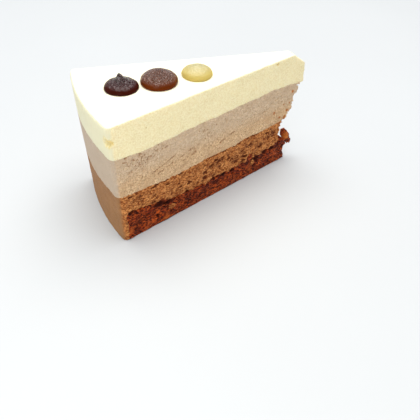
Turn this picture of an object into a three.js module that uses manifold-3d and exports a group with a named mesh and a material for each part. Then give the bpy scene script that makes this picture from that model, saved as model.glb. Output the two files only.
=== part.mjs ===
// A cut slice of triple chocolate mousse cake: a crumbly brownie base under dark, milk and white
// chocolate mousse, with three chocolate drops in a row on top.
// Millimetres, +Z up. The slice's tip points along +X and its round outer wall faces -X.
import * as THREE from "three";
import { ImprovedNoise } from "three/addons/math/ImprovedNoise.js";
import { mergeVertices } from "three/addons/utils/BufferGeometryUtils.js";
import Module from "manifold-3d";

// Driving dimensions
const RING_RADIUS = 110;
const SLICE_ANGLE = THREE.MathUtils.degToRad(26.6);
const CAKE_HEIGHT = 60.7;
const TIP_HALF_WIDTH = 0.35;
const LAYER_GAP = 0.3;
const CRUMB_GAP = 0.5;
const WALL_THICKNESS = 2.6;

// Heights of the surfaces between the layers, by the distance from the cake's centre. The crumb's
// first height is that of the piece that stands up at the tip.
const MILK_TOP = {
  distance: [0, 10, 29, 50, 70, 92, 104, 110],
  height: [44, 45.3, 45.9, 45.4, 45, 44.2, 45.1, 45.6],
};
const DARK_TOP = {
  distance: [0, 10, 16, 30, 47, 62, 80, 91, 110],
  height: [27.2, 26.6, 25.4, 25.6, 24.6, 24.8, 24, 24.4, 26.1],
};
const BROWNIE_TOP = {
  distance: [7.4, 10.6, 19, 25, 40, 47, 57, 68, 75, 82, 90, 98, 105, 110],
  height: [16.6, 12.8, 12.2, 10.4, 11.4, 9.8, 11.2, 9.8, 11.7, 11.4, 13.6, 14.4, 16.4, 14],
};

// How far each layer's broken tip stands back from the cake's centre, by height
const WHITE_TIP = { height: [43, 44.5, 54.3, CAKE_HEIGHT], distance: [1.6, 0.7, 1.2, 10] };
const MILK_TIP = { height: [24.5, 26.8, 32.5, 37.4, 40.2, 44], distance: [10.4, 8.8, 6.9, 6, 4.2, 4] };
const DARK_TIP = { height: [13, 20.1, 22, 25.3, 27], distance: [14.2, 13.6, 13, 10.8, 9.6] };
const BROWNIE_TIP = { height: [0, 2.5, 6, 8.6, 10, 13, 16.6], distance: [6.8, 7, 8.2, 4, 2.7, 3.2, 6.2] };

// The middle of the slice's box lies at the origin, so the cake's own centre is here.
const CENTRE_X = 0.5 * (RING_RADIUS + Math.min(...WHITE_TIP.distance));

// Relief of the cut faces and of the surfaces between the layers: how deep and how far apart
const CUT_RELIEF = {
  white: { depth: 0.15, spacing: 9 },
  milk: { depth: 0.3, spacing: 6 },
  dark: { depth: 0.6, spacing: 4.5 },
  brownie: { depth: 1.1, spacing: 3.6 },
};
const WALL_RELIEF = { depth: 0.2, spacing: 14 };
const INTERFACE_RELIEF = { depth: 0.5, spacing: 12 };
const CRUMB_TOP_RELIEF = { depth: 1.2, spacing: 5 };
const SEEDS = { brownie: 11, dark: 13, milk: 15, white: 17 };
const SURFACE_SEEDS = { milkTop: 3.1, darkTop: 5.7, brownieTop: 8.3 };
const FACE_SEEDS = { near: 20, far: 40 };

// The nick in the white mousse at the corner of the near cut face and the outer wall
const NICK = { height: 54.6, width: 5.4, tall: 3.4, depth: 1.2 };

// The drops: where each stands, and its form
const DROPS = {
  drop_dark: { distance: 93.1, side: -0.5, radius: 7.2, dome: 3.8, cone: 1.7, nub: 1.1 },
  drop_milk: { distance: 77.3, side: 1.5, radius: 8, dome: 5.1, cone: 0.4, nub: 0.1 },
  drop_white: { distance: 59.8, side: 1.9, radius: 6.8, dome: 3.9, cone: 0.4, nub: 0 },
};
const DROP_EDGE_RISE = 0.16;
const DROP_FOOT = 0.9;
const CONE_RADIUS = 3.1;
const NUB_RADIUS = 1;
const DROP_RELIEF = { depth: 0.12, spacing: 4 };

// Mesh fineness, and how far the steep inside of the outer wall leans
const STEP_LEAN = 0.02;
const WHITE_STEPS = { along: 40, across: 4, up: 8 };
const MILK_STEPS = { along: 46, across: 4, up: 9 };
const DARK_STEPS = { along: 62, across: 6, up: 8 };
const BROWNIE_STEPS = { along: 62, across: 6, up: 7 };
const DROP_SIDES = 26;
const DROP_RINGS = 9;
const NICK_SIDES = 12;
const NICK_RINGS = 8;

// Colour and roughness of each piece
const LOOKS = {
  brownie_base: { color: 0x6b3220, roughness: 0.85 },
  dark_mousse: { color: 0x9a6640, roughness: 0.75 },
  milk_mousse: { color: 0xc2a585, roughness: 0.7 },
  white_mousse: { color: 0xf0e8c8, roughness: 0.6 },
  drop_dark: { color: 0x43190f, roughness: 0.3 },
  drop_milk: { color: 0x7a4a30, roughness: 0.35 },
  drop_white: { color: 0xe8cf84, roughness: 0.4 },
};

const wasm = await Module();
wasm.setup();
const noise = new ImprovedNoise();

function roughness(relief, a, b, seed) {
  return relief.depth * noise.noise(a / relief.spacing, b / relief.spacing, seed);
}

function through(positions, values) {
  const line = new THREE.LinearInterpolant(positions, values, 1);
  return (position) => line.evaluate(position)[0];
}

// How far to the side of the slice's middle a place lies: across is -1 to 1 between the cut faces
function sideOf(distance, across) {
  return distance * Math.sin(0.5 * SLICE_ANGLE * across);
}

// The surface between two layers: its height at a distance from the centre and a way across
function interfaceOf(heights, relief, seed) {
  const level = through(heights.distance, heights.height);
  return (distance, across) => level(distance) + roughness(relief, distance, sideOf(distance, across), seed);
}

const milkTop = interfaceOf(MILK_TOP, INTERFACE_RELIEF, SURFACE_SEEDS.milkTop);
const darkTop = interfaceOf(DARK_TOP, INTERFACE_RELIEF, SURFACE_SEEDS.darkTop);
const brownieTop = interfaceOf(BROWNIE_TOP, CRUMB_TOP_RELIEF, SURFACE_SEEDS.brownieTop);
const floor = () => 0;
const cakeTop = () => CAKE_HEIGHT;

// Where a column of the mesh stands between a layer's tip and its outer wall. The last two columns
// of a layer with an inner wall stand close behind that wall and on the outer one.
function columnDistance(along, start, outer, inner, columns) {
  const step = 1 / columns;
  if (inner === undefined) return THREE.MathUtils.lerp(start, outer, along);
  if (along < 1 - 1.5 * step) return THREE.MathUtils.lerp(start, inner, along / (1 - 2 * step));
  return along < 1 - 0.5 * step ? inner + STEP_LEAN : outer;
}

// A layer of the slice: a box bent into a wedge between two surfaces, its cut faces in relief
function wedge({ bottom, top, tip, outer, inner, relief, steps, seed }) {
  const geometry = new THREE.BoxGeometry(1, 1, 1, steps.along, steps.across, steps.up);
  const tipDistance = through(tip.height, tip.distance);
  const lowest = bottom(tip.distance[0], 0);
  const highest = top(tip.distance.at(-1), 0);
  const position = geometry.getAttribute("position");
  for (let i = 0; i < position.count; i++) {
    const along = position.getX(i) + 0.5;
    const across = 2 * position.getY(i);
    const up = position.getZ(i) + 0.5;
    const level = THREE.MathUtils.lerp(lowest, highest, up);
    const back = tipDistance(level);
    const start = back + roughness(relief, sideOf(back, across), level, seed);
    const wall = outer + Math.abs(roughness(WALL_RELIEF, sideOf(outer, across), level, seed));
    const distance = columnDistance(along, start, wall, inner, steps.along);
    const z = THREE.MathUtils.lerp(bottom(distance, across), top(distance, across), up);
    const turn = 0.5 * SLICE_ANGLE * across;
    const faceSeed = seed + (across > 0 ? FACE_SEEDS.near : FACE_SEEDS.far);
    const out = TIP_HALF_WIDTH + roughness(relief, distance, z, faceSeed);
    position.setXYZ(i, CENTRE_X - distance * Math.cos(turn), -distance * Math.sin(turn) - across * out, z);
  }
  return geometry;
}

function solidOf(geometry) {
  const bare = geometry.clone();
  bare.deleteAttribute("normal");
  bare.deleteAttribute("uv");
  const merged = mergeVertices(bare);
  const vertProperties = new Float32Array(merged.getAttribute("position").array);
  const triVerts = new Uint32Array(merged.index.array);
  return new wasm.Manifold(new wasm.Mesh({ numProp: 3, vertProperties, triVerts }));
}

function geometryOf(solid) {
  const mesh = solid.getMesh();
  const geometry = new THREE.BufferGeometry();
  geometry.setAttribute("position", new THREE.BufferAttribute(mesh.vertProperties, 3));
  geometry.setIndex(new THREE.BufferAttribute(mesh.triVerts, 1));
  geometry.computeVertexNormals();
  return geometry;
}

function named(name, geometry) {
  const mesh = new THREE.Mesh(geometry, new THREE.MeshStandardMaterial({ ...LOOKS[name], metalness: 0 }));
  mesh.name = name;
  return mesh;
}

function brownieBase() {
  const geometry = wedge({
    bottom: floor,
    top: brownieTop,
    tip: BROWNIE_TIP,
    outer: RING_RADIUS - WALL_THICKNESS,
    relief: CUT_RELIEF.brownie,
    steps: BROWNIE_STEPS,
    seed: SEEDS.brownie,
  });
  return named("brownie_base", geometry);
}

// The dark mousse lies over the brownie and comes down round it as the outer wall.
function darkMousse() {
  const inner = RING_RADIUS - WALL_THICKNESS + CRUMB_GAP;
  const overBrownie = (distance, across) => brownieTop(distance, across) + CRUMB_GAP;
  const geometry = wedge({
    bottom: (distance, across) => (distance > inner + 0.5 * STEP_LEAN ? 0 : overBrownie(distance, across)),
    top: (distance, across) => darkTop(distance, across) - 0.5 * LAYER_GAP,
    tip: DARK_TIP,
    outer: RING_RADIUS,
    inner,
    relief: CUT_RELIEF.dark,
    steps: DARK_STEPS,
    seed: SEEDS.dark,
  });
  return named("dark_mousse", geometry);
}

function milkMousse() {
  const geometry = wedge({
    bottom: (distance, across) => darkTop(distance, across) + 0.5 * LAYER_GAP,
    top: (distance, across) => milkTop(distance, across) - 0.5 * LAYER_GAP,
    tip: MILK_TIP,
    outer: RING_RADIUS,
    relief: CUT_RELIEF.milk,
    steps: MILK_STEPS,
    seed: SEEDS.milk,
  });
  return named("milk_mousse", geometry);
}

function whiteMousse() {
  const whole = wedge({
    bottom: (distance, across) => milkTop(distance, across) + 0.5 * LAYER_GAP,
    top: cakeTop,
    tip: WHITE_TIP,
    outer: RING_RADIUS,
    relief: CUT_RELIEF.white,
    steps: WHITE_STEPS,
    seed: SEEDS.white,
  });
  const nick = new THREE.SphereGeometry(0.5, NICK_SIDES, NICK_RINGS);
  const turn = 0.5 * SLICE_ANGLE;
  nick.scale(NICK.width, 2 * NICK.depth, NICK.tall);
  nick.rotateZ(turn + 0.25 * Math.PI);
  nick.translate(
    CENTRE_X - RING_RADIUS * Math.cos(turn),
    -RING_RADIUS * Math.sin(turn) - TIP_HALF_WIDTH,
    NICK.height,
  );
  return named("white_mousse", geometryOf(solidOf(whole).subtract(solidOf(nick))));
}

// A piped chocolate drop: flat foot, round edge, low dome and a drawn-up middle
function dropHeight(form, share) {
  const out = share * form.radius;
  const rise = DROP_EDGE_RISE * form.dome;
  const dome = rise + (form.dome - rise) * Math.sqrt(1 - share * share);
  const cone = form.cone * Math.exp(-((out / CONE_RADIUS) ** 2));
  const nub = form.nub * Math.exp(-((out / NUB_RADIUS) ** 4));
  return dome + cone + nub;
}

function drop(name) {
  const form = DROPS[name];
  const profile = [new THREE.Vector2(0, 0), new THREE.Vector2(DROP_FOOT * form.radius, 0)];
  for (let ring = 0; ring <= DROP_RINGS; ring++) {
    const share = Math.cos((0.5 * Math.PI * ring) / DROP_RINGS);
    profile.push(new THREE.Vector2(share * form.radius, dropHeight(form, share)));
  }
  profile.at(-1).x = 0;
  const geometry = new THREE.LatheGeometry(profile, DROP_SIDES);
  geometry.rotateX(0.5 * Math.PI);
  const position = geometry.getAttribute("position");
  for (let i = 0; i < position.count; i++) {
    const x = position.getX(i);
    const y = position.getY(i);
    const z = position.getZ(i);
    const swell = 1 + roughness(DROP_RELIEF, x, y, form.radius) / form.radius;
    position.setXYZ(i, x * swell, y * swell, z);
  }
  const mesh = named(name, geometry);
  mesh.position.set(CENTRE_X - form.distance, -form.side, CAKE_HEIGHT + LAYER_GAP);
  return mesh;
}

const cake = new THREE.Group();
cake.add(brownieBase(), darkMousse(), milkMousse(), whiteMousse());
cake.add(...Object.keys(DROPS).map(drop));

export default cake;
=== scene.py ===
import math

import bpy
import numpy as np
import openvdb
from mathutils import Matrix, Vector


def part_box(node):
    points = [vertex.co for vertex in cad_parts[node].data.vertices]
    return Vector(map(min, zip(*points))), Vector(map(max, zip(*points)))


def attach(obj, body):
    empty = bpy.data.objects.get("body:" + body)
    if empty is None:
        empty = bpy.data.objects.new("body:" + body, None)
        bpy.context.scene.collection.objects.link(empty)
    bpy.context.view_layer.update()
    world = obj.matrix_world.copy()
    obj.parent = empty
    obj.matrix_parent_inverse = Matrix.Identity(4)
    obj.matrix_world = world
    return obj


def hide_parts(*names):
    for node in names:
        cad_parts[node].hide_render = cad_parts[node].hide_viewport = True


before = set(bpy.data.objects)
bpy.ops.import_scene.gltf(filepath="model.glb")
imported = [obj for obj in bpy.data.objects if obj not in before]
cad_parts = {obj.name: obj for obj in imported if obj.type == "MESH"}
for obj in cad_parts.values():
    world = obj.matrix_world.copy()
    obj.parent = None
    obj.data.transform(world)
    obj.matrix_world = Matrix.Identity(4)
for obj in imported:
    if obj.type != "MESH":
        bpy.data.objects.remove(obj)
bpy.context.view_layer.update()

# Shapes are made in millimetres and scaled as they become meshes.
MM = 0.001
WHITE_LOW, WHITE_HIGH = (np.array(corner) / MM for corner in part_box("white_mousse"))
CAKE_HEIGHT = float(WHITE_HIGH[2])

# How far each layer's broken tip stands back from the cake's centre, by height
WHITE_TIP = ((43, 1.6), (44.5, 0.7), (54.3, 1.2), (CAKE_HEIGHT, 10.0))
MILK_TIP = ((24.5, 10.4), (26.8, 8.8), (32.5, 6.9), (37.4, 6.0), (40.2, 4.2), (44, 4.0))
DARK_TIP = ((0, 14.2), (20.1, 13.6), (22, 13.0), (25.3, 10.8), (27, 9.6))
BROWNIE_TIP = ((0, 6.8), (2.5, 7.0), (6, 8.2), (9, 6.6), (13, 8.0), (20, 9.0))

# The ring that the cake was set in and the wedge cut from it, worked out from the frame
TIP_HALF_WIDTH = 0.35
RING_RADIUS = float(WHITE_HIGH[0] - WHITE_LOW[0]) + min(distance for _, distance in WHITE_TIP)
CENTRE_X = float(WHITE_LOW[0]) + RING_RADIUS
HALF_ANGLE = math.asin((0.5 * (WHITE_HIGH[1] - WHITE_LOW[1]) - TIP_HALF_WIDTH) / RING_RADIUS)

# Heights of the surfaces between the layers, by the distance from the cake's centre
MILK_TOP = ((0, 44.0), (10, 45.3), (29, 45.9), (50, 45.4), (70, 45.0), (92, 44.2), (104, 45.1), (110, 45.6))
DARK_TOP = (
    (0, 27.2), (10, 26.6), (16, 25.4), (30, 25.6), (47, 24.6),
    (62, 24.8), (80, 24.0), (91, 24.4), (110, 26.1),
)
BROWNIE_TOP = (
    (0, 13.0), (13, 12.6), (19, 12.2), (25, 10.4), (40, 11.4), (47, 9.8), (57, 11.2),
    (68, 9.8), (75, 11.7), (82, 11.4), (90, 13.6), (98, 14.4), (105, 16.4), (110, 14.0),
)
# The outer wall of dark mousse round the brownie, and how uneven the crumb behind it is
WALL_THICKNESS = 2.6
WALL_UNEVEN = {"depth": 0.6, "spacing": 2.2}

# The crumb that stands up at the tip: its middle, its half sizes and how much it leans back
KNOB = {"distance": 5.7, "height": 12.9, "along": 2.8, "across": 1.9, "up": 4.9, "lean": 0.45}

# Rounding of the corners where the cut faces meet the outer wall, of the upper edges and of hidden edges
CORNER_ROUND = 2.4
CUT_EDGE_ROUND = 0.9
RIM_EDGE_ROUND = 1.7
HIDDEN_ROUND = 0.2
# How much further out the wall stands at the top of the white mousse
WALL_FLARE = 1.1
# How far the layers run into one another
OVERLAP = 0.15

# Size of the voxels that the layers are made of
FINE_VOXEL = 0.3
COARSE_VOXEL = 0.4
# How far on both sides of a surface its distance is kept, and the empty room round a layer
BAND = 2.1
MARGIN = 1.6
# The room that a surface between layers is given over and under the heights of its profile
ROOM = 1
# How freely flat places of a mesh are thinned out, and the points of the smallest part that is kept
THINNING = 0.035
SMALLEST_PART = 150

# The two cut faces: the one that the photo shows and the one behind
NEAR = -1
FAR = 1

# Where the series of random numbers start. A field that adds up several uses the next ones too.
SEEDS = {
    "milk_top": 31, "dark_top": 33, "brownie_top": 35, "inner_wall": 37,
    "white_foam": 41, "milk_foam": 51, "milk_drags": 54, "milk_pores": 55,
    "dark_foam": 61, "dark_drags": 64, "dark_pores": 65, "crevices": 71,
    "lumps": 81, "grit": 82, "brownie_swell": 83, "brownie_pores": 85,
}


# Smooth random fields

# Random values repeat after so many steps, which are powers of two.
NOISE_STEPS = 64
CRUMB_STEPS = 32
# Brings blended noise back to about -1 to 1
NOISE_GAIN = 1.4
# Where noise picks out patches, it counts as none below the first value and as whole above the second
PATCH_EDGE = (-0.1, 0.5)


def fade(share):
    return share * share * (3 - 2 * share)


def smooth_step(low, high, value):
    return fade(np.clip((value - low) / (high - low), 0, 1))


def noise(points, spacing, seed):
    """Smooth noise of about -1 to 1 at the points: random values on a lattice, blended between."""
    values = np.random.default_rng(seed).uniform(-1, 1, (NOISE_STEPS,) * 3).astype(np.float32)
    place = points / np.asarray(spacing, dtype=np.float32)
    cell = np.floor(place).astype(np.int32)
    share = fade(place - cell)
    total = np.zeros(len(points), dtype=np.float32)
    for corner in np.ndindex(2, 2, 2):
        weight = np.ones(len(points), dtype=np.float32)
        for axis in range(3):
            weight *= share[:, axis] if corner[axis] else 1 - share[:, axis]
        index = (cell + corner) & (NOISE_STEPS - 1)
        total += weight * values[index[:, 0], index[:, 1], index[:, 2]]
    return total * NOISE_GAIN


def foam(points, waves, seed):
    """Noise of several sizes added up: each wave gives its strength and its spacing."""
    return sum(strength * noise(points, spacing, seed + i) for i, (strength, spacing) in enumerate(waves))


def crumbs(points, spacing, seed):
    """Distance to the nearest of many scattered centres, as a share of their spacing."""
    shifts = np.random.default_rng(seed).uniform(0, 1, (CRUMB_STEPS,) * 3 + (3,)).astype(np.float32)
    place = points / spacing
    cell = np.floor(place).astype(np.int32)
    nearest = np.full(len(points), np.inf, dtype=np.float32)
    for step in np.ndindex(3, 3, 3):
        other = cell + np.array(step) - 1
        index = other & (CRUMB_STEPS - 1)
        centre = other + shifts[index[:, 0], index[:, 1], index[:, 2]]
        np.minimum(nearest, ((place - centre) ** 2).sum(axis=1), out=nearest)
    return np.sqrt(nearest)


# Streaks that a knife drags over a cut face: their rise towards the tip in degrees, then the length and
# width of the streaks and of the patches that they come in, and the shift that makes the two faces differ
DRAG_RISE = 17
DRAG_STREAKS = {"size": (16, 0.75, 1), "shift": 20}
DRAG_PATCHES = {"size": (22, 7, 1), "shift": 9}


def drags(points, seed):
    """Fine streaks that a knife drags over a cut face, rising towards the tip, in patches."""
    rise = math.radians(DRAG_RISE)
    side = np.sign(points[:, 1])
    back = CENTRE_X - points[:, 0]
    across = -back * math.sin(rise) - points[:, 2] * math.cos(rise)
    length = back * math.cos(rise) - points[:, 2] * math.sin(rise)

    def field(form, own_seed):
        return noise(np.stack([length, across, form["shift"] * side], axis=1), form["size"], own_seed)

    return field(DRAG_STREAKS, seed) * smooth_step(*PATCH_EDGE, field(DRAG_PATCHES, seed + 1))


# The slice's space and the layers in it


def on_face(side, along, height, out=0.0):
    """A place on a cut face, by its distance from the tip and its height, moved out of the face."""
    across = side * (along * math.sin(HALF_ANGLE) + (TIP_HALF_WIDTH + out) * math.cos(HALF_ANGLE))
    return np.array([CENTRE_X - along * math.cos(HALF_ANGLE) + out * math.sin(HALF_ANGLE), across, height])


def rounded(first, second, radius):
    """The distance outside both of two walls, with the edge where they meet rounded."""
    over = np.hypot(np.maximum(first + radius, 0), np.maximum(second + radius, 0))
    return np.minimum(np.maximum(first, second), -radius) + over


# How fast the relief goes over from one wall's depth to the next one's, for each millimetre
RELIEF_BLEND = 2.5
# How deep the skin of a hole counts as, which paints shade into it
HOLE_DEPTH = 0.5
# Small single holes lie this far out of the face
HOLE_OUT = 0.1
# A pore lies this far out of the face, and its size in each direction varies, as shares of its size
PORE_OUT = (-0.5, 0.3)
PORE_FORM = (0.8, 1.3)
# A groove's middle lies this share of its radius out of the face, and its radius swells and narrows
GROOVE_OUT = 0.4
GROOVE_SWELL = 0.25
GROOVE_SWELLS = 9


class Layer:
    """One layer of the slice as a field on a block of voxels, negative inside the layer.

    The voxels have the slice's own coordinates: how far back from the cake's centre, to the side
    and up they lie, and their distance from the upright line through the centre.
    """

    def __init__(self, bottom, top, voxel=FINE_VOXEL):
        self.voxel = voxel
        self.low = np.array([CENTRE_X - RING_RADIUS, WHITE_LOW[1], bottom]) - MARGIN
        span = np.array([CENTRE_X, WHITE_HIGH[1], top]) + MARGIN - self.low
        self.shape = tuple(np.ceil(span / voxel).astype(int) + 1)
        x, y, z = (
            (self.low[axis] + voxel * np.arange(self.shape[axis])).astype(np.float32) for axis in range(3)
        )
        self.back = (CENTRE_X - x)[:, None, None]
        self.side = y[None, :, None]
        self.height = z[None, None, :]
        self.distance = np.hypot(self.back, self.side)

    def walls(self, tip, outer=RING_RADIUS):
        """Distances outside the near cut face, the far cut face, the outer wall and the tip."""
        outer = outer + WALL_FLARE * smooth_step(0, CAKE_HEIGHT, self.height)
        lean = self.back * math.sin(HALF_ANGLE)
        near = -self.side * math.cos(HALF_ANGLE) - lean - TIP_HALF_WIDTH
        far = self.side * math.cos(HALF_ANGLE) - lean - TIP_HALF_WIDTH
        heights, distances = zip(*tip)
        back = np.interp(self.height, heights, distances).astype(np.float32) - self.distance
        return [near, far, self.distance - outer, back]

    def points(self, mask):
        """Places of the masked voxels as an array of x, y, z rows."""
        return (self.low + self.voxel * np.argwhere(mask)).astype(np.float32)

    def form(self, walls, relief, depths, cut_edge=HIDDEN_ROUND, rim_edge=HIDDEN_ROUND, corner=CORNER_ROUND):
        """Forms the layer from its walls' distances and a relief.

        The walls are the near and far cut faces, the outer wall, the tip, the top and the bottom.
        The relief is as deep as depths says for the cut faces, the outer wall, the tip and the top.
        """
        near, far, wall, tip, top, bottom = walls
        faces = np.maximum(near, far)
        sides = np.maximum(rounded(faces, wall, corner), tip)
        edges = np.maximum(rounded(np.maximum(faces, tip), top, cut_edge), rounded(wall, top, rim_edge))
        smooth = np.maximum.reduce(np.broadcast_arrays(sides, edges, bottom)).astype(np.float32)
        mask = np.abs(smooth) < BAND
        own = [np.broadcast_to(distance, self.shape)[mask] for distance in walls]
        greatest = np.maximum.reduce(own)
        weights = [np.exp(np.minimum(RELIEF_BLEND * (distance - greatest), 0)) for distance in own]
        wall_depths = (depths["cut"], depths["cut"], depths["wall"], depths["tip"], depths["top"], 0)
        depth = sum(weight * part for weight, part in zip(weights, wall_depths)) / sum(weights)
        self.moved = np.zeros(self.shape, dtype=np.float32)
        self.moved[mask] = depth * relief(self.points(mask), mask)
        self.field = smooth + self.moved

    def ball(self, centre, radii):
        """The window of voxels round an ellipsoid, and how far outside of it they lie."""
        centre = np.asarray(centre, dtype=float)
        radii = np.asarray(radii, dtype=float) * np.ones(3)
        reach = radii + 2 * self.voxel
        first = np.maximum(np.floor((centre - reach - self.low) / self.voxel).astype(int), 0)
        last = np.minimum(np.ceil((centre + reach - self.low) / self.voxel).astype(int) + 1, self.shape)
        last = np.maximum(first, last)
        axes = [self.low[i] + self.voxel * np.arange(first[i], last[i]) - centre[i] for i in range(3)]
        x, y, z = np.meshgrid(*axes, indexing="ij")
        stretch = np.sqrt((x / radii[0]) ** 2 + (y / radii[1]) ** 2 + (z / radii[2]) ** 2)
        window = tuple(slice(a, b) for a, b in zip(first, last))
        return window, ((stretch - 1) * radii.min()).astype(np.float32)

    def add(self, centre, radii):
        """Joins an ellipsoid to the layer."""
        window, outside = self.ball(centre, radii)
        self.field[window] = np.minimum(self.field[window], outside)

    def carve(self, centre, radii):
        """Cuts an ellipsoid out of the layer and marks its skin deep, which paints shade into the hole."""
        window, outside = self.ball(centre, radii)
        field, moved = self.field[window], self.moved[window]
        self.moved[window] = np.where(-outside > field, np.maximum(moved, HOLE_DEPTH), moved)
        self.field[window] = np.maximum(field, -outside)

    def carve_all(self, holes, out=0.0, share=1.0):
        """Cuts out holes given as cut face, distance, height and half sizes, which share shrinks."""
        for side, along, height, radii in holes:
            self.carve(on_face(side, along, height, out), np.array(radii) * share)

    def add_all(self, lumps, out):
        """Joins lumps given the same way to the layer."""
        for side, along, height, radii in lumps:
            self.add(on_face(side, along, height, out), radii)

    def pores(self, rng, count, heights, sizes, start, stretch):
        """Scatters small pores over both cut faces, stretched along the faces."""
        for side in (NEAR, FAR):
            for _ in range(count):
                along = rng.uniform(start, RING_RADIUS - 1)
                size = sizes[0] + (sizes[1] - sizes[0]) * rng.random() ** 3
                place = on_face(side, along, rng.uniform(*heights), rng.uniform(*PORE_OUT) * size)
                self.carve(place, size * rng.uniform(*PORE_FORM, 3) * [stretch, 1, 1])

    def grooves(self, lines, radius):
        """Drags thin grooves over the cut faces, between places given as distance and height."""
        for side, start, end in lines:
            for share in np.linspace(0, 1, 2 + int(math.dist(start, end) / radius)):
                along, height = (a + share * (b - a) for a, b in zip(start, end))
                place = on_face(side, along, height, GROOVE_OUT * radius)
                swell = GROOVE_SWELL * math.sin(GROOVE_SWELLS * share)
                self.carve(place, radius * (1 - GROOVE_SWELL + swell))

    def surface(self, name):
        """The mesh where the field is zero, with the relief at each point kept as an attribute."""
        volume = openvdb.FloatGrid(background=BAND)
        volume.copyFromArray(np.clip(np.maximum(self.field, -self.height), -BAND, BAND))
        points, triangles, quads = volume.convertToPolygons(isovalue=0.0, adaptivity=THINNING)
        kept = sound_parts(len(points), triangles, quads)
        place = np.cumsum(kept) - 1
        faces = [face for kind in (triangles, quads) for face in place[kind[kept[kind[:, 0]]]].tolist()]
        points = points[kept]
        index = tuple(np.clip(np.rint(points).astype(int), 0, np.array(self.shape) - 1).T)
        piece = mesh_object(name, self.low + self.voxel * points, faces)
        depth = piece.data.attributes.new("depth", "FLOAT", "POINT")
        depth.data.foreach_set("value", np.ascontiguousarray(self.moved[index], dtype=np.float32))
        return piece


def sound_parts(count, triangles, quads):
    """Marks the points of a mesh that belong to a connected part of some size."""
    ends = [(0, 1), (1, 2), (2, 3)]
    edges = [triangles[:, pair] for pair in ends[:2]] + [quads[:, pair] for pair in ends]
    first, second = np.concatenate(edges).astype(np.int64).T
    part = np.arange(count)
    while True:
        lower = np.minimum(part[first], part[second])
        joined = part.copy()
        np.minimum.at(joined, part[first], lower)
        np.minimum.at(joined, part[second], lower)
        joined = joined[joined]
        if (joined == part).all():
            break
        part = joined
    return np.bincount(part)[part] >= SMALLEST_PART


def mesh_object(name, points, faces):
    mesh = bpy.data.meshes.new(name)
    mesh.from_pydata((points * MM).tolist(), [], faces)
    mesh.validate()
    mesh.shade_smooth()
    piece = bpy.data.objects.new(name, mesh)
    bpy.context.collection.objects.link(piece)
    return piece


# The surfaces between the layers

# The step at which a line between two layers is drawn, the steps that it is smoothed over and how
# far it runs on at both ends
LINE_STEP = 0.5
LINE_WINDOW = 15
LINE_OVERRUN = 10
# The finer waves of a surface, as shares of its depth and spacing
RIPPLE = {"strength": 0.4, "spacing": 1 / 3}


def level(profile, spacing, depth, seed):
    """A surface between two layers, as a function of a layer: its height at each column."""
    distances, heights = zip(*profile)
    fine = np.arange(-LINE_OVERRUN, RING_RADIUS + LINE_OVERRUN, LINE_STEP)
    window = np.hanning(LINE_WINDOW)
    line = np.convolve(np.interp(fine, distances, heights), window / window.sum(), mode="same")
    edge = LINE_WINDOW // 2 + 1
    whole = slice(edge, -edge)
    waves = ((1, spacing), (RIPPLE["strength"], RIPPLE["spacing"] * spacing))

    def height_over(layer):
        x, y = np.broadcast_arrays(CENTRE_X - layer.back[:, :, 0], layer.side[:, :, 0])
        flat = np.stack([x.ravel(), y.ravel(), np.zeros(x.size)], axis=1).astype(np.float32)
        uneven = depth * foam(flat, waves, seed)
        smooth = np.interp(layer.distance[:, :, 0], fine[whole], line[whole])
        return (smooth + uneven.reshape(x.shape)).astype(np.float32)[:, :, None]

    return height_over


milk_top = level(MILK_TOP, spacing=6, depth=0.25, seed=SEEDS["milk_top"])
dark_top = level(DARK_TOP, spacing=6, depth=0.3, seed=SEEDS["dark_top"])
brownie_top = level(BROWNIE_TOP, spacing=3, depth=0.5, seed=SEEDS["brownie_top"])


def lowest(profile):
    return min(height for _, height in profile) - ROOM


def highest(profile):
    return max(height for _, height in profile) + ROOM


def inner_wall(layer):
    """How far from the centre the outer wall of mousse meets the crumb: an uneven surface."""
    side, height = np.meshgrid(layer.side[0, :, 0], layer.height[0, 0, :], indexing="ij")
    rows = np.stack([0 * side.ravel(), side.ravel(), height.ravel()], axis=1)
    uneven = WALL_UNEVEN["depth"] * noise(rows, WALL_UNEVEN["spacing"], SEEDS["inner_wall"])
    return (RING_RADIUS - WALL_THICKNESS + uneven.reshape(side.shape)).astype(np.float32)[None, :, :]


# How wide the crevices are between the crumb and the mousse over it, and how far apart they come
CREVICE_HALF_WIDTH = 0.7
CREVICE_SPACING = 4


def crevices(layer, points, mask):
    """Where the crumb gapes away from the mousse above it: 0 to 1 near their shared surface."""
    above = (layer.height - brownie_top(layer))[mask]
    gape = smooth_step(*PATCH_EDGE, noise(points, CREVICE_SPACING, SEEDS["crevices"]))
    return gape * np.exp(-((above / CREVICE_HALF_WIDTH) ** 2))


# White mousse

WHITE_WAVES = ((0.6, 7), (0.35, 2.2), (0.4, 0.9))
WHITE_DEPTHS = {"cut": 0.16, "wall": 0.06, "tip": 0.2, "top": 0.04}
# The nick on the rounded corner, and a small hole near the top edge: their middles and half sizes
NICK = on_face(NEAR, RING_RADIUS + 1.3, 53.5, -1.2)
NICK_RADII = (2.7, 2.7, 1.5)
WHITE_HOLE = (20.8, 59.0)
WHITE_HOLE_RADII = (0.7, 0.6, 0.5)
# A faint mark on the near cut face
WHITE_MARK = (94.0, 54.4)


def white_mousse():
    layer = Layer(lowest(MILK_TOP), CAKE_HEIGHT, COARSE_VOXEL)
    walls = layer.walls(WHITE_TIP)
    walls += [layer.height - CAKE_HEIGHT, milk_top(layer) - OVERLAP - layer.height]

    def relief(points, mask):
        return foam(points, WHITE_WAVES, SEEDS["white_foam"])

    layer.form(walls, relief, WHITE_DEPTHS, CUT_EDGE_ROUND, RIM_EDGE_ROUND)
    layer.carve(NICK, NICK_RADII)
    layer.carve(on_face(NEAR, *WHITE_HOLE, HOLE_OUT), WHITE_HOLE_RADII)
    return layer.surface("white_mousse_layer")


# Milk mousse

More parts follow.
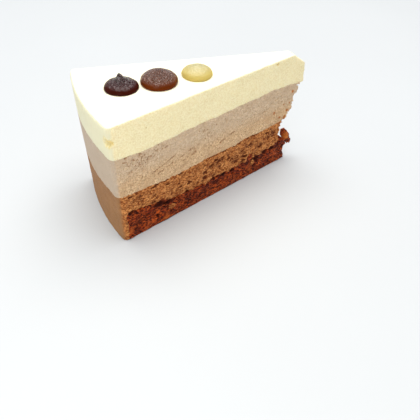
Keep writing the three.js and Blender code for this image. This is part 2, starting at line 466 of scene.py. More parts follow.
MILK_WAVES = ((0.4, 5), (0.4, 1.4), (0.8, 0.6))
MILK_DRAG = 0.5
MILK_DEPTHS = {"cut": 0.26, "wall": 0.06, "tip": 0.9, "top": 0}
MILK_PORES = {"count": 24, "heights": (24, 47), "sizes": (0.2, 0.3), "start": 6, "stretch": 1}
# A porous place high on the near cut face: the mean and spread of its pores' places, and their sizes
POROUS = {"count": 40, "along": (97, 7), "height": (42, 1.8), "sizes": (0.25, 0.4)}

# Single holes in the near cut face: distance, height and size
MILK_HOLES = (
    (101.2, 42.0, 0.55), (97.9, 43.5, 0.5), (104.6, 44.7, 0.7), (109.8, 37.8, 0.5),
    (94.3, 39.5, 0.5), (103.3, 39.8, 0.45), (98.6, 38.4, 0.5), (33.2, 24.9, 0.7),
)

# Grooves that the knife dragged: cut face, and distance and height of the start and the end
MILK_GROOVE_RADIUS = 0.36
MILK_GROOVES = (
    (NEAR, (93, 31.0), (80, 35.3)),
    (NEAR, (90, 29.4), (82, 31.8)),
    (NEAR, (78, 32.6), (71, 34.6)),
    (NEAR, (76, 30.0), (69, 32.0)),
    (NEAR, (55, 30.5), (46, 33.0)),
    (FAR, (88, 34), (70, 39.5)),
    (FAR, (50, 31), (41, 34)),
)


def milk_mousse():
    layer = Layer(lowest(DARK_TOP), highest(MILK_TOP))
    walls = layer.walls(MILK_TIP)
    walls += [layer.height - milk_top(layer) - OVERLAP, dark_top(layer) - OVERLAP - layer.height]

    def relief(points, mask):
        return foam(points, MILK_WAVES, SEEDS["milk_foam"]) + MILK_DRAG * drags(points, SEEDS["milk_drags"])

    layer.form(walls, relief, MILK_DEPTHS)
    rng = np.random.default_rng(SEEDS["milk_pores"])
    layer.pores(rng, **MILK_PORES)
    for _ in range(POROUS["count"]):
        place = on_face(NEAR, rng.normal(*POROUS["along"]), rng.normal(*POROUS["height"]), HOLE_OUT)
        layer.carve(place, rng.uniform(*POROUS["sizes"]))
    for along, height, size in MILK_HOLES:
        layer.carve(on_face(NEAR, along, height, HOLE_OUT), size)
    layer.grooves(MILK_GROOVES, MILK_GROOVE_RADIUS)
    return layer.surface("milk_mousse_layer")


# Dark mousse and brownie

# Soft mousse that fills gaps in the crumb: cut face, distance, height and half sizes
MOUSSE_POCKETS = (
    (NEAR, 83.5, 7.0, (2.3, 1.3, 1.6)),
    (NEAR, 101.9, 12.9, (1.0, 0.9, 0.9)),
    (NEAR, 31.4, 7.8, (1.5, 1.1, 1.7)),
    (FAR, 70.0, 7.6, (2.0, 1.2, 1.4)),
    (FAR, 48.0, 6.1, (1.5, 1.0, 1.2)),
    (FAR, 92.0, 9.5, (1.2, 0.9, 1.1)),
)

# Lumps of crumb that stand up into the mousse, given the same way
CRUMB_LUMPS = (
    (NEAR, 34.4, 11.9, (2.9, 1.6, 2.7)),
    (NEAR, 40.8, 9.8, (2.0, 1.2, 1.4)),
    (NEAR, 14.6, 12.2, (1.6, 1.3, 1.3)),
    (FAR, 57.0, 11.0, (2.6, 1.5, 2.2)),
    (FAR, 26.0, 10.8, (2.2, 1.4, 1.8)),
)

# How far out of the faces the pockets and the lumps lie, and how much of a pocket the crumb makes room for
POCKET_OUT = -0.6
LUMP_OUT = -1.1
POCKET_ROOM = 0.92

# Larger holes in the dark mousse, given the same way
MOUSSE_HOLES = (
    (NEAR, 72.6, 15.6, (1.6, 0.7, 0.6)),
    (NEAR, 62.9, 16.8, (1.3, 0.8, 1.0)),
    (NEAR, 63.4, 13.8, (1.3, 0.8, 1.1)),
    (NEAR, 93.2, 14.8, (1.2, 0.7, 0.6)),
    (NEAR, 77.8, 23.6, (1.5, 0.6, 0.45)),
    (NEAR, 91.8, 23.4, (3.2, 0.6, 0.4)),
    (NEAR, 104.6, 24.0, (1.6, 0.6, 0.4)),
    (NEAR, 99.6, 21.6, (1.9, 0.5, 0.35)),
    (NEAR, 36.9, 14.6, (1.6, 1.0, 0.8)),
    (NEAR, 26.3, 16.0, (1.6, 0.9, 0.7)),
    (NEAR, 22.0, 22.4, (1.6, 0.8, 0.7)),
    (NEAR, 17.2, 20.0, (0.9, 0.7, 0.7)),
    (NEAR, 34.0, 20.2, (1.5, 0.7, 0.6)),
    (NEAR, 46.3, 17.1, (1.3, 0.7, 0.6)),
    (NEAR, 48.4, 18.5, (1.2, 0.7, 0.6)),
    (NEAR, 59.2, 19.4, (1.5, 0.9, 0.9)),
    (NEAR, 56.8, 21.4, (1.2, 0.7, 0.6)),
    (NEAR, 54.6, 19.6, (1.2, 0.7, 0.6)),
    (NEAR, 52.4, 21.0, (1.1, 0.7, 0.5)),
    (NEAR, 43.4, 13.6, (1.2, 0.7, 0.5)),
    (NEAR, 11.4, 25.4, (1.0, 1.2, 0.8)),
    (FAR, 84.0, 17.5, (1.4, 0.7, 0.8)),
    (FAR, 41.0, 15.0, (1.2, 0.7, 0.7)),
    (FAR, 58.0, 20.5, (1.0, 0.6, 0.6)),
)

# Deep gaps along the top of the crumb, given the same way
CRUMB_GAPS = (
    (NEAR, 90.0, 12.2, (3.0, 1.3, 1.4)),
    (NEAR, 85.6, 10.8, (2.8, 1.2, 1.1)),
    (NEAR, 58.0, 10.6, (1.8, 0.9, 0.8)),
    (NEAR, 51.5, 10.5, (2.6, 1.0, 0.9)),
    (NEAR, 45.5, 10.0, (2.0, 1.0, 0.9)),
    (NEAR, 38.4, 12.4, (1.4, 1.0, 0.9)),
    (NEAR, 28.9, 9.6, (2.2, 1.2, 1.4)),
    (NEAR, 22.6, 11.0, (2.3, 1.1, 1.3)),
    (NEAR, 105.0, 15.6, (1.6, 1.0, 0.9)),
    (NEAR, 74.4, 11.2, (1.0, 1.0, 0.9)),
    (NEAR, 31.6, 10.3, (1.7, 0.9, 0.6)),
    (NEAR, 17.4, 11.2, (2.2, 1.1, 1.1)),
    (FAR, 66.0, 10.5, (2.2, 1.2, 1.0)),
    (FAR, 34.0, 10.8, (1.8, 1.1, 1.0)),
)

# Seams that open between the dark and the milk mousse, given like the milk mousse's grooves
SEAM_RADIUS = 0.45
SEAMS = (
    (NEAR, (61, 24.5), (51, 24.3)),
    (NEAR, (37, 25.1), (32, 25.3)),
    (NEAR, (92, 24.1), (85, 23.8)),
    (NEAR, (46, 24.3), (41, 24.6)),
    (FAR, (80, 24.0), (66, 24.4)),
    (FAR, (40, 24.8), (33, 25.2)),
)

DARK_WAVES = ((0.4, 4), (0.5, 1.5), (0.7, 0.65))
DARK_DRAG = 0.4
DARK_CREVICE = 1.6
DARK_DEPTHS = {"cut": 0.4, "wall": 0.08, "tip": 0.6, "top": 0}
DARK_PORES = {"count": 90, "heights": (9, 27), "sizes": (0.22, 0.4), "start": 12, "stretch": 2.6}


def dark_mousse():
    layer = Layer(0, highest(DARK_TOP))
    walls = layer.walls(DARK_TIP)
    over_brownie = brownie_top(layer) - OVERLAP - layer.height
    inside_wall = inner_wall(layer) - layer.distance
    walls += [layer.height - dark_top(layer) - OVERLAP, np.minimum(over_brownie, inside_wall)]

    def relief(points, mask):
        bubbles = foam(points, DARK_WAVES, SEEDS["dark_foam"])
        dragged = DARK_DRAG * drags(points, SEEDS["dark_drags"])
        return bubbles + dragged + DARK_CREVICE * crevices(layer, points, mask)

    layer.form(walls, relief, DARK_DEPTHS)
    layer.pores(np.random.default_rng(SEEDS["dark_pores"]), **DARK_PORES)
    layer.grooves(SEAMS, SEAM_RADIUS)
    layer.carve_all(MOUSSE_HOLES + CRUMB_GAPS)
    layer.carve_all(CRUMB_LUMPS, LUMP_OUT)
    layer.add_all(MOUSSE_POCKETS, POCKET_OUT)
    return layer.surface("dark_mousse_layer")


# Crumbs lie flat in the brownie: how their spacing is shared between x, y and z
CRUMB_STRETCH = np.array([0.5, 0.8, 1.0], dtype=np.float32)
# The brownie's lumps and grit: how strongly they stand out, their spacing and what is taken off
LUMPS = {"strength": 1.2, "spacing": 1.7, "less": 0.65}
GRIT = {"strength": 0.8, "spacing": 0.8, "less": 0.4}
BROWNIE_SWELL = ((0.5, 4),)
BROWNIE_CREVICE = 1.2
BROWNIE_DEPTHS = {"cut": 0.6, "wall": 0.1, "tip": 0.5, "top": 0.4}
BROWNIE_PORES = {"count": 110, "heights": (1.5, 13), "sizes": (0.3, 0.6), "start": 7, "stretch": 2}
# Between these heights the crumb's relief grows from none at the foot
FOOT = (-0.3, 1.2)


def crumb_field(points, seed, strength, spacing, less):
    return strength * crumbs(points * CRUMB_STRETCH, spacing, seed) - less


def knob_distance(layer):
    """Distance outside the crumb that stands up at the tip, which leans back."""
    up = layer.height - KNOB["height"]
    along = layer.distance - (KNOB["distance"] + KNOB["lean"] * up)
    shares = (along / KNOB["along"]) ** 2 + (up / KNOB["up"]) ** 2 + (layer.side / KNOB["across"]) ** 2
    return (np.sqrt(shares) - 1) * KNOB["across"]


def brownie_base():
    layer = Layer(0, KNOB["height"] + KNOB["up"] + ROOM)
    walls = layer.walls(BROWNIE_TIP, inner_wall(layer) + OVERLAP)
    walls.append(layer.height - brownie_top(layer))
    knob = knob_distance(layer)
    walls = [np.minimum(np.broadcast_to(wall, layer.shape), knob) for wall in walls] + [-layer.height]

    def relief(points, mask):
        crumb = crumb_field(points, SEEDS["lumps"], **LUMPS) + crumb_field(points, SEEDS["grit"], **GRIT)
        crumb = crumb + foam(points, BROWNIE_SWELL, SEEDS["brownie_swell"])
        crumb = crumb + BROWNIE_CREVICE * crevices(layer, points, mask)
        return crumb * smooth_step(*FOOT, np.broadcast_to(layer.height, layer.shape)[mask])

    layer.form(walls, relief, BROWNIE_DEPTHS, corner=HIDDEN_ROUND)
    layer.pores(np.random.default_rng(SEEDS["brownie_pores"]), **BROWNIE_PORES)
    layer.add_all(CRUMB_LUMPS, LUMP_OUT)
    layer.carve_all(CRUMB_GAPS)
    layer.carve_all(MOUSSE_POCKETS, POCKET_OUT, POCKET_ROOM)
    return layer.surface("brownie_base_layer")


# The drops: height of the dome, of the drawn-up cone on it and of the peak, and the peak's lean
DROPS = {
    "drop_dark": {"dome": 3.5, "cone": 2.0, "nub": 1.0, "lean": -0.4},
    "drop_milk": {"dome": 5.2, "cone": 0.3, "nub": 0.1, "lean": 0.0},
    "drop_white": {"dome": 4.0, "cone": 0.3, "nub": 0.0, "lean": 0.0},
}
# How finely a drop is divided: its sides, and the rings of its foot, its round edge and its dome
DROP_SIDES = 144
FOOT_RINGS = 4
EDGE_RINGS = 9
DOME_RINGS = 80
# The flat foot's share of the radius, and the round edge's share of the dome's height
FOOT_SHARE = 0.9
EDGE_SHARE = 0.16
# How wide the drawn-up cone and the peak are
CONE_RADIUS = 2.9
NUB_RADIUS = 1.3
# How far the drops sink into the mousse
DROP_SINK = 0.1
# Swelling of the outline as shares of the radius, and wrinkles of the skin: strength and spacing
DROP_SWELL = ((0.018, 4.5), (0.006, 1.6))
DROP_DENTS = {"depth": 0.12, "spacing": 2.2}
DROP_WRINKLES = {"depth": 0.09, "spacing": (1.5, 0.9, 1.2)}
# The skin is wrinkled in full from this height up
WRINKLED_FROM = 2


def drop_profile(radius, dome, cone, nub):
    """Distance out and height of a drop's rings: flat foot, round edge, low dome, drawn-up middle."""
    rise = EDGE_SHARE * dome
    rings = [(share * radius * FOOT_SHARE, 0.0) for share in np.linspace(1 / FOOT_RINGS, 1, FOOT_RINGS)]
    for edge in np.linspace(0, 0.5 * math.pi, EDGE_RINGS + 1)[1:]:
        out = radius * (FOOT_SHARE + (1 - FOOT_SHARE) * math.sin(edge))
        rings.append((out, rise * (1 - math.cos(edge))))
    for share in np.cos(np.linspace(0, 0.5 * math.pi, DOME_RINGS + 1)[1:-1]):
        out = share * radius
        height = rise + (dome - rise) * math.sqrt(1 - share * share)
        height += cone * math.exp(-((out / CONE_RADIUS) ** 2)) + nub * math.exp(-((out / NUB_RADIUS) ** 3))
        rings.append((out, height))
    return np.array(rings).T


def drop_points(out, height, top):
    """The points of a turned form: its foot's middle, its rings and its top."""
    turn = np.linspace(0, 2 * math.pi, DROP_SIDES, endpoint=False)
    axes = [np.outer(out, np.cos(turn)), np.outer(out, np.sin(turn)), np.outer(height, np.ones(DROP_SIDES))]
    rings = np.stack(axes, axis=2).reshape(-1, 3)
    return np.concatenate([[[0, 0, 0]], rings, [[0, 0, top]]]).astype(np.float32)


def drop_faces(rings):
    """The faces between a turned form's points, with a fan round the foot's middle and the top."""
    last = 1 + rings * DROP_SIDES
    pairs = [(i, (i + 1) % DROP_SIDES) for i in range(DROP_SIDES)]
    faces = [(0, 1 + j, 1 + i) for i, j in pairs]
    for first in range(1, last - DROP_SIDES, DROP_SIDES):
        after = first + DROP_SIDES
        faces += [(first + i, first + j, after + j, after + i) for i, j in pairs]
    first = last - DROP_SIDES
    return faces + [(first + i, first + j, last) for i, j in pairs]


def drop_piece(node, name, dome, cone, nub, lean):
    """A piped drop on the cake's top, its skin a little wrinkled."""
    low, high = (np.array(corner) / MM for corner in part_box(node))
    centre = 0.5 * (low + high)
    radius = 0.5 * (high[0] - low[0])
    out, height = drop_profile(radius, dome, cone, nub)
    points = drop_points(out, height, dome + cone + nub)
    seed = int(10 * radius)
    points[:, :2] *= 1 + foam(points, DROP_SWELL, seed)[:, None]
    dents = DROP_DENTS["depth"] * noise(points, DROP_DENTS["spacing"], seed + 2)
    wrinkles = DROP_WRINKLES["depth"] * np.abs(noise(points, DROP_WRINKLES["spacing"], seed + 3))
    points[:, 2] += (dents + wrinkles) * smooth_step(0, WRINKLED_FROM, points[:, 2])
    points[:, 0] += lean * (points[:, 2] / height.max()) ** 3
    points += [centre[0], centre[1], CAKE_HEIGHT - DROP_SINK]
    return mesh_object(name, points, drop_faces(len(out)))


# Materials

# Places of the share and the two colours among a Mix node's inputs, and of the colour that comes out
MIX_INPUTS = (0, 6, 7)
MIX_OUTPUT = 2
# The grain in millimetres that makes a spot's edge ragged, and where it fades, as shares of its radius
SPOT_GRAIN = 0.6
SPOT_FADE = (1.7, 1.1)
# How far inside the ring the outer wall's colour, with its painted shade and cool sheen, starts and is whole
SKIN_AND_SHADE_EDGE = (1.0, 0.1)


class Look:
    """A procedural material: a principled surface fed by textures in the object's own space."""

    def __init__(self, name):
        self.material = bpy.data.materials.new(name)
        self.material.use_nodes = True
        self.tree = self.material.node_tree
        self.shader = self.tree.nodes["Principled BSDF"]
        self.space = self.tree.nodes.new("ShaderNodeTexCoord").outputs["Object"]

    def feed(self, socket, value):
        """Links another socket to this one, or sets a value on it."""
        if isinstance(value, bpy.types.NodeSocket):
            self.tree.links.new(value, socket)
        else:
            socket.default_value = value

    def node(self, kind, **inputs):
        made = self.tree.nodes.new(kind)
        for name, value in inputs.items():
            self.feed(made.inputs[name.replace("_", " ")], value)
        return made

    def operate(self, kind, operation, *values):
        """A node that works a number out of some values in turn."""
        made = self.tree.nodes.new(kind)
        made.operation = operation
        for socket, value in zip(made.inputs, values):
            self.feed(socket, value)
        return made

    def set(self, **values):
        for name, value in values.items():
            self.feed(self.shader.inputs[name.replace("_", " ")], value)

    def stretched(self, *scale):
        return self.node("ShaderNodeMapping", Vector=self.space, Scale=scale).outputs["Vector"]

    def noise(self, size, detail=3, roughness=0.5, space=None):
        """Noise with features of about that size in millimetres."""
        space = space or self.space
        scale = 0.5 / (size * MM)
        made = self.node("ShaderNodeTexNoise", Vector=space, Scale=scale, Detail=detail, Roughness=roughness)
        return made.outputs["Fac"]

    def patches(self, low, high, *form):
        """0 to 1 in soft patches: noise of that form, spread from low to high."""
        return self.spread(self.noise(*form), low, high)

    def cells(self, size):
        made = self.node("ShaderNodeTexVoronoi", Vector=self.space, Scale=1 / (size * MM))
        return made.outputs["Distance"]

    def specks(self, size, share):
        """Small dots about that far apart: 1 in a dot, whose size is a share of the distance."""
        return self.spread(self.cells(size), share, 0.5 * share)

    def relief(self, low, high):
        """0 to 1 with the depth that the shape's own relief goes in, which the looks use to paint shade into
        hollows.
        """
        made = self.tree.nodes.new("ShaderNodeAttribute")
        made.attribute_name = "depth"
        return self.spread(made.outputs["Fac"], low, high)

    def spread(self, value, low, high):
        """Maps low to 0 and high to 1, clamped."""
        return self.node("ShaderNodeMapRange", Value=value, From_Min=low, From_Max=high).outputs["Result"]

    def height(self, low, high):
        """0 to 1 between two heights in millimetres."""
        made = self.node("ShaderNodeSeparateXYZ", Vector=self.space)
        return self.spread(made.outputs["Z"], low * MM, high * MM)

    def away(self, space, centre):
        """The distance from a place given in millimetres."""
        place = tuple(float(value) * MM for value in centre)
        return self.operate("ShaderNodeVectorMath", "DISTANCE", space, place).outputs["Value"]

    def skin(self):
        """1 on the outer wall, 0 on the cut faces: where the wall's colour goes, partly its smooth skin's
        own and partly painted shade and cool sheen.
        """
        away = self.away(self.stretched(1, 1, 0), (CENTRE_X, 0, 0))
        return self.spread(away, *((RING_RADIUS - edge) * MM for edge in SKIN_AND_SHADE_EDGE))

    def spot(self, centre, radius):
        """1 round a place given in millimetres, fading out raggedly at that radius."""
        ragged = self.sum(self.away(self.space, centre), self.noise(SPOT_GRAIN, 2), radius * MM)
        return self.spread(ragged, *(share * radius * MM for share in SPOT_FADE))

    def sum(self, first, second, share):
        """The first plus a share of the second."""
        return self.operate("ShaderNodeMath", "MULTIPLY_ADD", second, share, first).outputs[0]

    def both(self, first, second):
        return self.operate("ShaderNodeMath", "MULTIPLY", first, second).outputs[0]

    def mix(self, share, first, second):
        made = self.tree.nodes.new("ShaderNodeMix")
        made.data_type = "RGBA"
        for index, value in zip(MIX_INPUTS, (share, first, second)):
            self.feed(made.inputs[index], value)
        return made.outputs[MIX_OUTPUT]

    def vary(self, name, share, low, high):
        """Drives a number of the surface between two values."""
        made = self.node("ShaderNodeMapRange", Value=share, To_Min=low, To_Max=high)
        self.feed(self.shader.inputs[name], made.outputs["Result"])

    def bump(self, height, depth, strength=1.0):
        made = self.node("ShaderNodeBump", Height=height, Distance=depth * MM, Strength=strength)
        self.feed(self.shader.inputs["Normal"], made.outputs["Normal"])

    def soft(self, weight, reach, depth):
        """Lets light into the surface, each colour as far as its reach says."""
        self.set(Subsurface_Weight=weight, Subsurface_Radius=reach, Subsurface_Scale=depth * MM)


def srgb(red, green, blue):
    """A colour of the 0 to 255 scale as the linear colour that shaders take."""
    shares = (value / 255 for value in (red, green, blue))
    return tuple(s / 12.92 if s <= 0.04045 else ((s + 0.055) / 1.055) ** 2.4 for s in shares) + (1.0,)


def white_mousse_look():
    look = Look("white_mousse_cream")
    mottle = look.patches(0.3, 0.7, 4)
    cream = look.mix(mottle, srgb(248, 232, 184), srgb(244, 227, 177))
    grain = look.patches(0.35, 0.65, 0.35, 2)
    cream = look.mix(grain, srgb(252, 240, 198), look.mix(mottle, srgb(236, 217, 166), cream))
    # painted shade: deeper relief, as in pits and holes, darker and yellower
    cream = look.mix(look.relief(0.15, 0.5), cream, srgb(236, 210, 146))
    # the outer wall's colour: partly its smooth skin's own, partly painted shade and cool sheen, darker and
    # greyer
    cream = look.mix(look.skin(), cream, look.mix(mottle, srgb(232, 226, 192), srgb(228, 222, 188)))
    cream = look.mix(look.height(CAKE_HEIGHT - 0.7, CAKE_HEIGHT - 0.3), cream, srgb(248, 241, 214))
    # painted shade in the nick: mottled darker yellow inside the dent
    nick_shade = look.mix(grain, srgb(248, 235, 184), srgb(228, 207, 136))
    cream = look.mix(look.spot(NICK, NICK_RADII[0]), cream, nick_shade)
    # painted shade: a dark spot in the small hole near the top edge
    cream = look.mix(look.spot(on_face(NEAR, *WHITE_HOLE), 0.35), cream, srgb(96, 78, 50))
    cream = look.mix(look.spot(on_face(NEAR, *WHITE_MARK), 0.3), cream, srgb(206, 184, 128))
    look.set(Base_Color=cream, IOR=1.4, Specular_IOR_Level=0.25)
    look.soft(0.12, (1.0, 0.8, 0.5), 0.8)
    look.vary("Roughness", look.noise(3), 0.5, 0.75)
    look.bump(look.sum(look.noise(0.6, 4), look.noise(0.25), 0.5), 0.35)
    return look.material


# Crumbs that the knife left on the milk mousse near its tip: distance and height, then size
MILK_CRUMBS = (
    ((18.9, 32.6), 0.9), ((7.3, 40.9), 0.9), ((6.2, 38.6), 0.6), ((14.5, 28.5), 0.7),
    ((9.5, 31.0), 0.9), ((10.8, 27.6), 1.2), ((8.4, 34.8), 0.5), ((12.6, 35.5), 0.5),
)


def milk_mousse_look():
    look = Look("milk_mousse_foam")
    mottle = look.patches(0.3, 0.7, 3, 4, 0.6)
    greyer = look.height(31, 38)
    tan = look.mix(greyer, srgb(212, 177, 139), srgb(210, 183, 153))
    tan = look.mix(mottle, tan, look.mix(greyer, srgb(203, 167, 128), srgb(203, 176, 146)))
    # fine grain: partly the foam's own tone, partly painted highlights in the lighter colour and painted
    # shade of tiny pores in the darker one
    grain = look.patches(0.38, 0.62, 0.32, 2)
    light = look.mix(greyer, srgb(246, 214, 170), srgb(228, 204, 174))
    dark = look.mix(greyer, srgb(176, 138, 102), srgb(192, 163, 130))
    tan = look.mix(grain, look.mix(mottle, light, tan), look.mix(mottle, dark, tan))
    # painted shade of pores: dark dots over the porous place
    porous = look.spot(on_face(NEAR, 96, 42), 9)
    tan = look.mix(look.both(porous, look.specks(1.2, 0.3)), tan, srgb(146, 104, 68))
    # painted shade: deeper relief, as in pores, holes and grooves, darker
    tan = look.mix(look.relief(0.14, 0.6), tan, srgb(150, 108, 72))
    # the outer wall's colour: partly its smooth skin's own, partly painted shade and cool sheen, greyer
    tan = look.mix(look.skin(), tan, look.mix(mottle, srgb(199, 179, 156), srgb(193, 172, 150)))
    for place, size in MILK_CRUMBS:
        tan = look.mix(look.spot(on_face(NEAR, *place), size), tan, srgb(180, 112, 60))
    look.set(Base_Color=tan, IOR=1.4, Specular_IOR_Level=0.2)
    look.soft(0.1, (1.0, 0.7, 0.4), 0.8)
    look.vary("Roughness", look.noise(2), 0.55, 0.8)
    look.bump(look.sum(look.noise(0.5, 5, 0.6), look.cells(0.6), 0.5), 0.5)
    return look.material


def dark_mousse_look():
    look = Look("dark_mousse_foam")
    mottle = look.patches(0.35, 0.65, 2.5, 4, 0.6)
    brown = look.mix(mottle, srgb(191, 119, 65), srgb(171, 101, 50))
    flat = look.stretched(0.5, 1, 1)
    # fine grain: partly the foam's own tone, partly painted highlights in the lighter colour and painted
    # shade of tiny pores in the deep one
    grain = look.patches(0.4, 0.6, 0.3, 2, 0.6, flat)
    light = look.mix(mottle, srgb(240, 168, 100), srgb(214, 140, 79))
    deep = look.mix(mottle, srgb(118, 58, 23), srgb(128, 65, 26))
    brown = look.mix(grain, look.mix(0.76, brown, light), look.mix(0.76, brown, deep))
    # painted shade of fine cracks: sparse dark patches drawn out along the face
    brown = look.mix(look.patches(0.6, 0.68, 1.1, 3, 0.6, flat), brown, srgb(128, 60, 24))
    # painted shade: deeper relief, as in holes, pores, seams and crevices, dark brown
    brown = look.mix(look.relief(0.15, 0.55), brown, srgb(88, 34, 12))
    # the outer wall's colour: partly its smooth skin's own, partly painted shade and cool sheen, greyer
    brown = look.mix(look.skin(), brown, look.mix(mottle, srgb(168, 123, 82), srgb(158, 114, 75)))
    look.set(Base_Color=brown, IOR=1.4, Specular_IOR_Level=0.15)
    look.soft(0.08, (1.0, 0.5, 0.25), 0.6)
    look.vary("Roughness", look.noise(2), 0.5, 0.75)
    look.bump(look.noise(0.4, 4, 0.65), 0.8)
    return look.material


# Lighter patches on the near cut face of the crumb: distance and height, then size
ORANGE_PATCHES = (((33, 4.5), 1.8), ((86.5, 3.0), 2.2), ((106, 4.5), 1.5))
# The lighter side of the crumb that stands up, and the size of the painted shade in a gap as a share of the
# gap's length
KNOB_LIGHT = (CENTRE_X - KNOB["distance"] - 0.6, -KNOB["across"], KNOB["height"] + 1.4)
GAP_SHADE = 0.6


def brownie_look():
    look = Look("brownie_crumb")
    flat = look.stretched(0.45, 1, 1)
    mottle = look.patches(0.4, 0.6, 1.2, 4, 0.65, flat)
    crumb = look.mix(mottle, srgb(144, 48, 17), srgb(94, 24, 8))
    lighter = look.mix(mottle, srgb(176, 74, 28), srgb(122, 40, 14))
    crumb = look.mix(look.patches(0.52, 0.66, 2.8, 2), crumb, lighter)
    # fine grain: partly the crumb's own tone, partly painted moist highlights in the lighter colour and
    # painted shade of tiny crevices in the deep one
    grain = look.patches(0.4, 0.6, 0.3, 2, 0.6, flat)
    light = look.mix(mottle, srgb(208, 94, 36), srgb(152, 52, 15))
    deep = look.mix(mottle, srgb(66, 15, 4), srgb(48, 10, 3))
    crumb = look.mix(grain, look.mix(0.95, crumb, light), look.mix(0.95, crumb, deep))
    # painted shade: deeper relief, as in pits, gaps and crevices, near black
    crumb = look.mix(look.relief(0.1, 0.7), crumb, srgb(56, 14, 6))
    knob = look.mix(mottle, srgb(220, 128, 50), srgb(166, 76, 24))
    crumb = look.mix(look.spot(KNOB_LIGHT, 2.6), crumb, knob)
    orange = look.mix(mottle, srgb(194, 98, 42), srgb(142, 58, 22))
    for place, size in ORANGE_PATCHES:
        crumb = look.mix(look.spot(on_face(NEAR, *place), size), crumb, orange)
    # painted shade: near black in the deep gaps along the top of the crumb
    for side, along, height, radii in CRUMB_GAPS:
        gap_shade = look.spot(on_face(side, along, height), GAP_SHADE * radii[0])
        crumb = look.mix(gap_shade, crumb, srgb(52, 14, 8))
    look.set(Base_Color=crumb, IOR=1.45, Specular_IOR_Level=0.14)
    look.vary("Roughness", look.noise(1.5), 0.3, 0.65)
    look.bump(look.sum(look.noise(0.5, 4, 0.7), look.cells(0.7), 0.8), 0.9)
    return look.material


# Between these heights over the cake's top, a drop goes over to its upper look, whose greyer colour is
# painted sheen
DROP_LOOK_HEIGHTS = (1.7, 4.2)
# How shiny the lowest part of a drop is, away from the studio's sky
LOWER_SHINE = 0.04


def chocolate_look(name, lower, upper_with_sheen, shine, wrinkle):
    """Chocolate that is deep and clear low on a drop and takes a wrinkled sheen higher up, where its colour
    is also greyer: painted sheen.
    """
    look = Look(name)
    higher = look.height(*(CAKE_HEIGHT + height for height in DROP_LOOK_HEIGHTS))
    # painted sheen: the upper colour is greyer than the chocolate's own lower colour
    look.set(Base_Color=look.mix(higher, lower, upper_with_sheen), IOR=1.5)
    look.soft(0.05, (1.0, 0.5, 0.25), 0.6)
    look.vary("Specular IOR Level", higher, LOWER_SHINE, shine)
    look.vary("Roughness", look.noise(1.2), 0.2, 0.32)
    look.bump(look.noise(0.48, 1, 0.5, look.stretched(1, 0.6, 1)), wrinkle, higher)
    return look.material


def floor_look():
    look = Look("studio_floor")
    look.set(Base_Color=look.mix(look.noise(50), srgb(190, 192, 193), srgb(193, 195, 196)))
    look.set(Roughness=0.6, Specular_IOR_Level=0.15)
    return look.material


# The photo's view and a plain studio

# The photo's camera, from a fit to the slice's corners: its place in ring radii from the cake's
# centre, its angles in degrees, and its lens
CAMERA_PLACE = (-1.2802, -1.5479, 1.4176)
CAMERA_YAW = 62.06
CAMERA_PITCH = 43.13
CAMERA_ROLL = 1.745
CAMERA_LENS = 40.01
CAMERA_SENSOR = 36.0

FLOOR_SIDE = 1.6
SKY = {"Color": (0.93, 0.96, 1.0, 1.0), "Strength": 0.63}
# Soft lights: place, what they point at, size, power and colour
LIGHTS = {
    "overhead": ((0.05, 0.12, 0.9), (0, 0, 0.03), (1.1, 0.9), 13.0, (1.0, 0.99, 0.97)),
    "window_front": ((-0.24, -0.27, 0.14), (-0.06, 0, 0.03), (0.14, 0.14), 0.34, (1.0, 0.95, 0.86)),
    "window_left": ((-0.75, 0.35, 0.3), (-0.05, 0, 0.03), (0.5, 0.5), 0.42, (0.5, 0.78, 1.0)),
}


def camera():
    yaw, pitch, roll = (math.radians(angle) for angle in (CAMERA_YAW, CAMERA_PITCH, CAMERA_ROLL))
    place = Vector((CENTRE_X * MM, 0, 0)) + RING_RADIUS * MM * Vector(CAMERA_PLACE)
    ahead = Vector((math.cos(yaw) * math.cos(pitch), math.sin(yaw) * math.cos(pitch), -math.sin(pitch)))
    data = bpy.data.cameras.new("camera")
    data.lens = CAMERA_LENS
    data.sensor_width = CAMERA_SENSOR
    data.clip_start = 0.01
    holder = bpy.data.objects.new("camera", data)
    turn = ahead.to_track_quat("-Z", "Y").to_matrix() @ Matrix.Rotation(roll, 3, "Z")
    holder.matrix_world = Matrix.Translation(place) @ turn.to_4x4()
    bpy.context.collection.objects.link(holder)
    bpy.context.scene.camera = holder


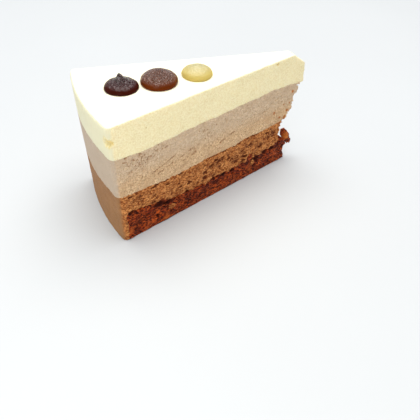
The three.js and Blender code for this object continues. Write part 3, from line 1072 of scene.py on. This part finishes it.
def panel(name, place, target, size, power, colour):
    data = bpy.data.lights.new(name, "AREA")
    data.shape = "RECTANGLE"
    data.size, data.size_y = size
    data.energy = power
    data.color = colour
    holder = bpy.data.objects.new(name, data)
    holder.location = place
    holder.rotation_euler = (Vector(target) - Vector(place)).to_track_quat("-Z", "Y").to_euler()
    bpy.context.collection.objects.link(holder)


def floor_piece():
    mesh = bpy.data.meshes.new("floor")
    corners = [(x * FLOOR_SIDE, y * FLOOR_SIDE, 0) for x, y in ((-1, -1), (1, -1), (1, 1), (-1, 1))]
    mesh.from_pydata(corners, [], [(0, 1, 2, 3)])
    mesh.materials.append(floor_look())
    floor = bpy.data.objects.new("floor", mesh)
    bpy.context.collection.objects.link(floor)


def studio():
    world = bpy.data.worlds.new("studio")
    bpy.context.scene.world = world
    world.use_nodes = True
    for name, value in SKY.items():
        world.node_tree.nodes["Background"].inputs[name].default_value = value
    for name, light in LIGHTS.items():
        panel(name, *light)
    bpy.context.scene.view_settings.view_transform = "Standard"


# The whole scene: each piece, the node that it replaces, its slot and its look

LAYERS = (
    (white_mousse, "white_mousse", "white_mousse", white_mousse_look),
    (milk_mousse, "milk_mousse", "milk_mousse", milk_mousse_look),
    (dark_mousse, "dark_mousse", "dark_mousse", dark_mousse_look),
    (brownie_base, "brownie_base", "brownie", brownie_look),
)

# The drops' nodes, piece names, slots and looks: name, lower colour, upper colour with painted sheen, shine
# and wrinkle depth
CHOCOLATES = (
    ("drop_dark", "dark_drop", "dark_chocolate",
     ("dark_chocolate_gloss", srgb(52, 14, 5), srgb(50, 12, 10), 0.95, 4.0)),
    ("drop_milk", "milk_drop", "milk_chocolate",
     ("milk_chocolate_gloss", srgb(90, 36, 3), srgb(91, 51, 29), 0.85, 3.0)),
    ("drop_white", "white_drop", "white_chocolate",
     ("white_chocolate_satin", srgb(187, 166, 92), srgb(179, 168, 120), 0.5, 0.5)),
)


def dress(piece, node, material):
    piece.data.materials.append(material)
    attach(piece, "root")
    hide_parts(node)


for make, node, slot, make_look in LAYERS:
    dress(make(), node, make_look())
for node, name, slot, look in CHOCOLATES:
    dress(drop_piece(node, name, **DROPS[node]), node, chocolate_look(*look))
floor_piece()
studio()
camera()
